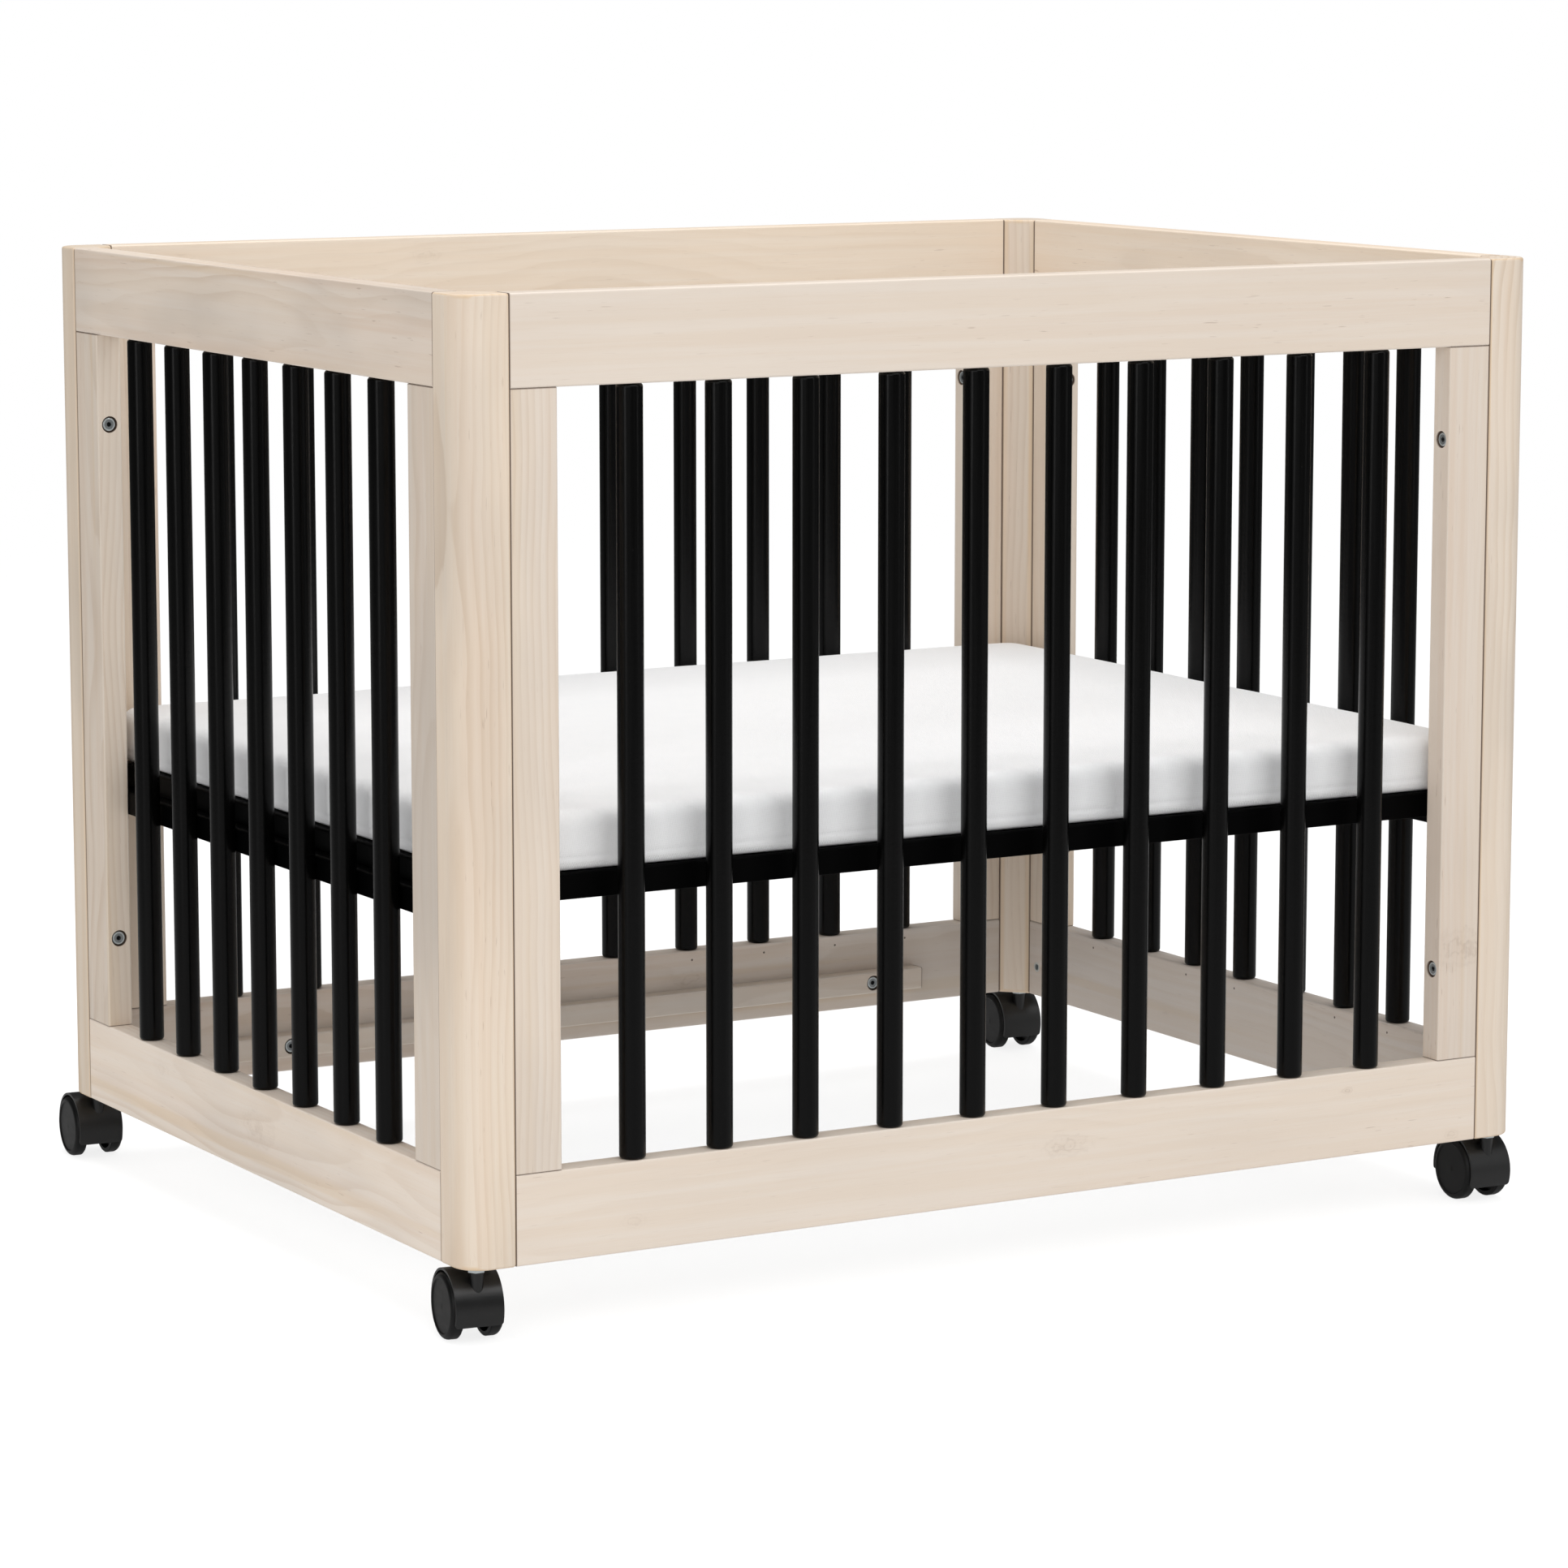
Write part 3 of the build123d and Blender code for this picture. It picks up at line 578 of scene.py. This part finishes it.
def knit_cover():
    """White knitted mattress cover: two crossing rows of fine loops with painted shade in the hollows
    between them, soft sheen.
    """
    shader = Shader("mattress_knit")
    parts = shader.split(shader.place)
    across = shader.math("ADD", parts[0], shader.math("MULTIPLY", parts[2], 0.7))
    along = shader.math("ADD", parts[1], shader.math("MULTIPLY", parts[2], 0.7))
    loop_height = KNIT_LOOP * KNIT_LOOP_STRETCH
    wave_a = shader.math("SINE", shader.math("MULTIPLY", across, math.tau / KNIT_LOOP))
    wave_b = shader.math("SINE", shader.math("MULTIPLY", along, math.tau / loop_height))
    loops = shader.math("MULTIPLY", wave_a, wave_b)
    hollow_shade = shader.math("MULTIPLY", shader.ramp(loops, -1.0, 0.2), -0.05)
    uneven = shader.noise(shader.place, 45.0, 4.0, 0.55)
    fuzz = shader.noise(shader.place, 2200.0, 2.0, 0.6)
    tint = shader.mix(uneven, COVER_WHITE, COVER_COOL)
    # painted shade in the hollows between the loops
    shade = shader.mix(shader.math("ADD", hollow_shade, 0.05), tint, COVER_HOLLOW_SHADE)
    height = shader.math("MULTIPLY_ADD", fuzz, 0.4, loops)
    shader.surface.inputs["Sheen Weight"].default_value = 0.15
    shader.surface.inputs["Sheen Roughness"].default_value = 0.5
    shader.surface.inputs["Specular IOR Level"].default_value = 0.20
    return shader.finish(
        Base_Color=shade,
        Roughness=shader.span(uneven, 0.80, 0.92),
        Normal=shader.bump(height, 0.00012),
    )


def paint_parts():
    lacquer = lacquered_black()
    powder = powder_black()
    hood = moulded_black("black_hood_nylon", 0.30, 0.40, 0.60)
    wheel = moulded_black("black_wheel_nylon", 0.36, 0.48, 0.25)
    zinc = zinc_plate()
    beech = bare_beech()
    for name in sorted(nodes):
        if wood_node(name) or name == "mattress":
            continue
        if name.endswith("_spindles"):
            assign(name, lacquer)
        elif name in ("panel_bolts", "cleat_bolts"):
            assign(name, zinc_plate(name))
        elif name == "panel_dowels":
            assign(name, beech)
        elif name.startswith("caster_hood"):
            assign(name, hood)
        elif name.startswith("caster_wheel"):
            assign(name, wheel)
        elif name.startswith("support_") and not name.endswith(("bolts", "inserts")):
            assign(name, powder)
        else:
            assign(name, zinc)


# ------------------------------------------------------------------ mattress
def spread(half, fine, coarse, edge):
    """Places from -half to half: fine steps near both ends, coarse ones between."""
    ends = [edge * step / fine for step in range(fine)]
    count = max(2, round((2 * half - 2 * edge) / coarse))
    middle = [-half + edge + (2 * half - 2 * edge) * step / count for step in range(count + 1)]
    return [-half + value for value in ends] + middle + [half - value for value in reversed(ends)]


def rounded(point, half, corner, edge):
    """Move a point of a box's surface onto the same box with round corners and soft edges."""
    x, y, z = point
    over_x = max(abs(x) - (half.x - corner), 0.0)
    over_y = max(abs(y) - (half.y - corner), 0.0)
    reach = max(over_x, over_y)
    length = math.hypot(over_x, over_y)
    inset = min(half.x - abs(x), half.y - abs(y))
    scale = reach / length if length > 0 else 1.0
    near_side = max(edge - inset, 0.0)
    near_top = max(abs(z) - (half.z - edge), 0.0)
    span = math.hypot(near_side, near_top)
    shrink = max(near_side, near_top) / span if span > 0 else 1.0
    pull = near_side - near_side * shrink
    if length > 0:
        scale *= (reach - pull) / reach
        new_x = min(abs(x), half.x - corner) + over_x * scale
        new_y = min(abs(y), half.y - corner) + over_y * scale
    else:
        new_x = abs(x)
        new_y = abs(y)
        if half.x - abs(x) < edge:
            new_x -= pull
        if half.y - abs(y) < edge:
            new_y -= pull
    new_z = abs(z) - near_top + near_top * shrink
    return Vector((math.copysign(new_x, x), math.copysign(new_y, y), math.copysign(new_z, z)))


MATTRESS_CORNER = 0.024      # radius in plan
MATTRESS_EDGE = 0.014        # radius of the top and bottom edges
CROWN = 0.0030               # rise of the top's middle
DRAW_IN = 0.0018             # how far a side's middle is pulled in
SEAM_HEIGHT = 0.012
SEAM_DEPTH = 0.0010
SEAM_WIDTH = 0.0020
MESH_STEP = 0.010            # on the flat of the cover
EDGE_BAND = 0.036            # this near to a side the mesh is finer
EDGE_STEPS = 8
LEVELS_UP = (0.0, 0.003, 0.006, 0.009, 0.0105, 0.012, 0.0135, 0.015, 0.018, 0.022, 0.026, 0.030, 0.034)
LEVELS_DOWN = (0.012, 0.009, 0.006, 0.003, 0.0)


def build_mattress():
    """Foam mattress in a knitted cover: soft edges, a slight crown, sides drawn in between the
    corners, and a zip seam low round the side."""
    low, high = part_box("mattress")
    half = (high - low) / 2
    centre = (high + low) / 2
    xs = spread(half.x, EDGE_STEPS, MESH_STEP, EDGE_BAND)
    ys = spread(half.y, EDGE_STEPS, MESH_STEP, EDGE_BAND)
    zs = [-half.z + level for level in LEVELS_UP] + [half.z - level for level in LEVELS_DOWN]
    mesh = bmesh.new()
    made = {}

    def corner(x, y, z):
        key = (round(x, 6), round(y, 6), round(z, 6))
        if key not in made:
            made[key] = mesh.verts.new(rounded(key, half, MATTRESS_CORNER, MATTRESS_EDGE))
        return made[key]

    def patch(firsts, seconds, place, flip):
        for a, b in zip(firsts, firsts[1:]):
            for c, d in zip(seconds, seconds[1:]):
                ring = [corner(*place(*pair)) for pair in ((a, c), (b, c), (b, d), (a, d))]
                mesh.faces.new(reversed(ring) if flip else ring)

    patch(xs, ys, lambda a, b: (a, b, half.z), False)
    patch(xs, ys, lambda a, b: (a, b, -half.z), True)
    patch(xs, zs, lambda a, b: (a, -half.y, b), False)
    patch(xs, zs, lambda a, b: (a, half.y, b), True)
    patch(ys, zs, lambda a, b: (-half.x, a, b), True)
    patch(ys, zs, lambda a, b: (half.x, a, b), False)

    for vert in mesh.verts:
        soften(vert, half)
        vert.co += centre
    mesh.normal_update()
    data = bpy.data.meshes.new("mattress_pad")
    mesh.to_mesh(data)
    mesh.free()
    for face in data.polygons:
        face.use_smooth = True
    data.materials.append(knit_cover())
    pad = bpy.data.objects.new("mattress_pad", data)
    scene.collection.objects.link(pad)
    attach(pad, "mattress")
    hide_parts("mattress")


def soften(vert, half):
    """Crown the top, draw the sides in between the corners, ripple the cover and sink the seam."""
    place = vert.co.copy()
    share_x = place.x / half.x
    share_y = place.y / half.y
    top_share = max(place.z / half.z, 0.0) ** 3
    crown = CROWN * (1 - abs(share_x) ** 3) * (1 - abs(share_y) ** 3)
    wave = noise.noise(place * 8.0) * 0.0008 + noise.noise(place * 24.0) * 0.0002
    vert.co.z += top_share * (crown + wave)
    seam = SEAM_DEPTH * math.exp(-((place.z + half.z - SEAM_HEIGHT) / SEAM_WIDTH) ** 2)
    for axis, share, other in ((0, share_x, share_y), (1, share_y, share_x)):
        inset = half[axis] - abs(place[axis])
        side = max(1 - inset / MATTRESS_EDGE, 0.0) ** 2
        draw = DRAW_IN * (1 - other ** 2) + noise.noise(place * 12.0) * 0.0006
        vert.co[axis] -= math.copysign(side * (draw + seam), place[axis])


# ------------------------------------------------------------------ brads
BRAD_RADIUS = 0.0011
BRAD_DROP = 0.009           # from the rail's edge at the opening
BRAD_PROUD = 0.0002
BRAD_SIDES = 10
BRAD_RINGS = ((1.0, -1.0), (1.0, 0.3), (0.6, 0.9))   # shares of the radius and of how far it's proud
SPINDLE_GAP = 0.02           # vertices further apart than this are on different spindles


def spindle_axes(node):
    """The axis that a row of spindles is set out along, and each one's middle, from the mesh."""
    low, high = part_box(node)
    axis = 0 if high.x - low.x > high.y - low.y else 1
    across = (low + high) / 2
    places = sorted(vert.co[axis] for vert in nodes[node].data.vertices)
    groups = []
    for value in places:
        if not groups or value - groups[-1][-1] > SPINDLE_GAP:
            groups.append([])
        groups[-1].append(value)
    axes = []
    for group in groups:
        point = across.copy()
        point[axis] = (group[0] + group[-1]) / 2
        axes.append(point)
    return axis, axes


def build_brads():
    """Filled brad heads that pin each spindle's tenons, on the rails' inner faces."""
    mesh = bmesh.new()
    for panel in ("front", "back", "left", "right"):
        axis, axes = spindle_axes(f"{panel}_spindles")
        for level, pull in (("top", 1), ("bottom", -1)):
            low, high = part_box(f"{panel}_{level}_rail")
            edge = low.z if level == "top" else high.z
            out_axis = 1 - axis
            inward = -1 if (low[out_axis] + high[out_axis]) / 2 > 0 else 1
            face = low[out_axis] if inward < 0 else high[out_axis]
            for point in axes:
                centre = Vector((0.0, 0.0, edge + pull * BRAD_DROP))
                centre[axis] = point[axis]
                centre[out_axis] = face
                add_dome(mesh, centre, out_axis, inward, axis)
    data = bpy.data.meshes.new("brad_heads")
    mesh.normal_update()
    bmesh.ops.recalc_face_normals(mesh, faces=mesh.faces)
    mesh.to_mesh(data)
    mesh.free()
    for face in data.polygons:
        face.use_smooth = True
    data.materials.append(brad_filler())
    brads = bpy.data.objects.new("brad_heads", data)
    scene.collection.objects.link(brads)
    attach(brads, "crib")


def add_dome(mesh, centre, out_axis, inward, along_axis):
    """A shallow closed dome of one brad head."""
    rings = []
    for share, rise in BRAD_RINGS:
        ring = []
        for step in range(BRAD_SIDES):
            turn = math.tau * step / BRAD_SIDES
            point = centre.copy()
            point[along_axis] += BRAD_RADIUS * share * math.cos(turn)
            point.z += BRAD_RADIUS * share * math.sin(turn)
            point[out_axis] += inward * BRAD_PROUD * rise
            ring.append(mesh.verts.new(point))
        rings.append(ring)
    for lower, upper in zip(rings, rings[1:]):
        for step in range(BRAD_SIDES):
            after = (step + 1) % BRAD_SIDES
            mesh.faces.new((lower[step], lower[after], upper[after], upper[step]))
    mesh.faces.new(rings[-1])
    mesh.faces.new(list(reversed(rings[0])))


# ------------------------------------------------------------------ studio
def build_floor():
    """Pale floor that fades into the white surroundings."""
    mesh = bmesh.new()
    bmesh.ops.create_circle(mesh, cap_ends=True, segments=96, radius=FLOOR_RADIUS)
    data = bpy.data.meshes.new("floor")
    mesh.to_mesh(data)
    mesh.free()
    floor = bpy.data.objects.new("floor", data)
    scene.collection.objects.link(floor)
    shader = Shader("pale_floor")
    grain = shader.noise(shader.place, 3.0, 3.0)
    colour = shader.mix(grain, FLOOR_WHITE, FLOOR_GRAIN)
    distance = shader.vector("LENGTH", shader.place)
    fade = shader.span(shader.ramp(distance, *FLOOR_FADE), FLOOR_SEE_THROUGH, 1.0)
    clear = shader.tree.nodes.new("ShaderNodeBsdfTransparent")
    blend = shader.tree.nodes.new("ShaderNodeMixShader")
    shader.feed(blend.inputs["Fac"], fade)
    shader.tree.links.new(shader.surface.outputs[0], blend.inputs[1])
    shader.tree.links.new(clear.outputs[0], blend.inputs[2])
    output = shader.tree.nodes["Material Output"]
    shader.tree.links.new(blend.outputs[0], output.inputs["Surface"])
    shader.surface.inputs["Emission Color"].default_value = (1.0, 1.0, 1.0, 1.0)
    shader.surface.inputs["Emission Strength"].default_value = FLOOR_GLOW
    data.materials.append(shader.finish(Base_Color=colour, Roughness=0.9))


def area_light(name, place, aim, size, power):
    light = bpy.data.lights.new(name, "AREA")
    light.shape = "RECTANGLE"
    light.size, light.size_y = size
    light.energy = power
    lamp = bpy.data.objects.new(name, light)
    lamp.location = place
    lamp.rotation_euler = (Vector(aim) - Vector(place)).to_track_quat("-Z", "Y").to_euler()
    scene.collection.objects.link(lamp)


def build_room():
    """White surroundings: full strength where seen directly, less as light, least in gloss."""
    world = bpy.data.worlds.new("studio")
    world.use_nodes = True
    scene.world = world
    tree = world.node_tree
    background = tree.nodes["Background"]
    background.inputs["Color"].default_value = (1.0, 1.0, 1.0, 1.0)
    rays = tree.nodes.new("ShaderNodeLightPath")
    room = tree.nodes.new("ShaderNodeMapRange")
    room.inputs["To Min"].default_value = ROOM_LIGHT
    room.inputs["To Max"].default_value = ROOM_GLOSS
    level = tree.nodes.new("ShaderNodeMapRange")
    level.inputs["To Max"].default_value = 1.0
    tree.links.new(rays.outputs["Is Glossy Ray"], room.inputs["Value"])
    tree.links.new(room.outputs["Result"], level.inputs["To Min"])
    tree.links.new(rays.outputs["Is Camera Ray"], level.inputs["Value"])
    tree.links.new(level.outputs["Result"], background.inputs["Strength"])


def build_studio():
    build_room()
    for name, (place, aim, size, power) in LIGHTS.items():
        area_light(name, place, aim, size, power)
    scene.view_settings.view_transform = "Standard"
    scene.view_settings.look = "None"
    build_floor()


def build_camera():
    data = bpy.data.cameras.new("camera")
    data.lens = LENS_MM
    data.sensor_width = 36.0
    camera = bpy.data.objects.new("camera", data)
    camera.location = EYE
    camera.rotation_euler = (math.radians(90 - LOOK_DOWN_DEG), 0.0, math.radians(-HEADING_DEG))
    scene.collection.objects.link(camera)
    scene.camera = camera


paint_wood()
paint_parts()
build_mattress()
build_brads()
build_studio()
build_camera()
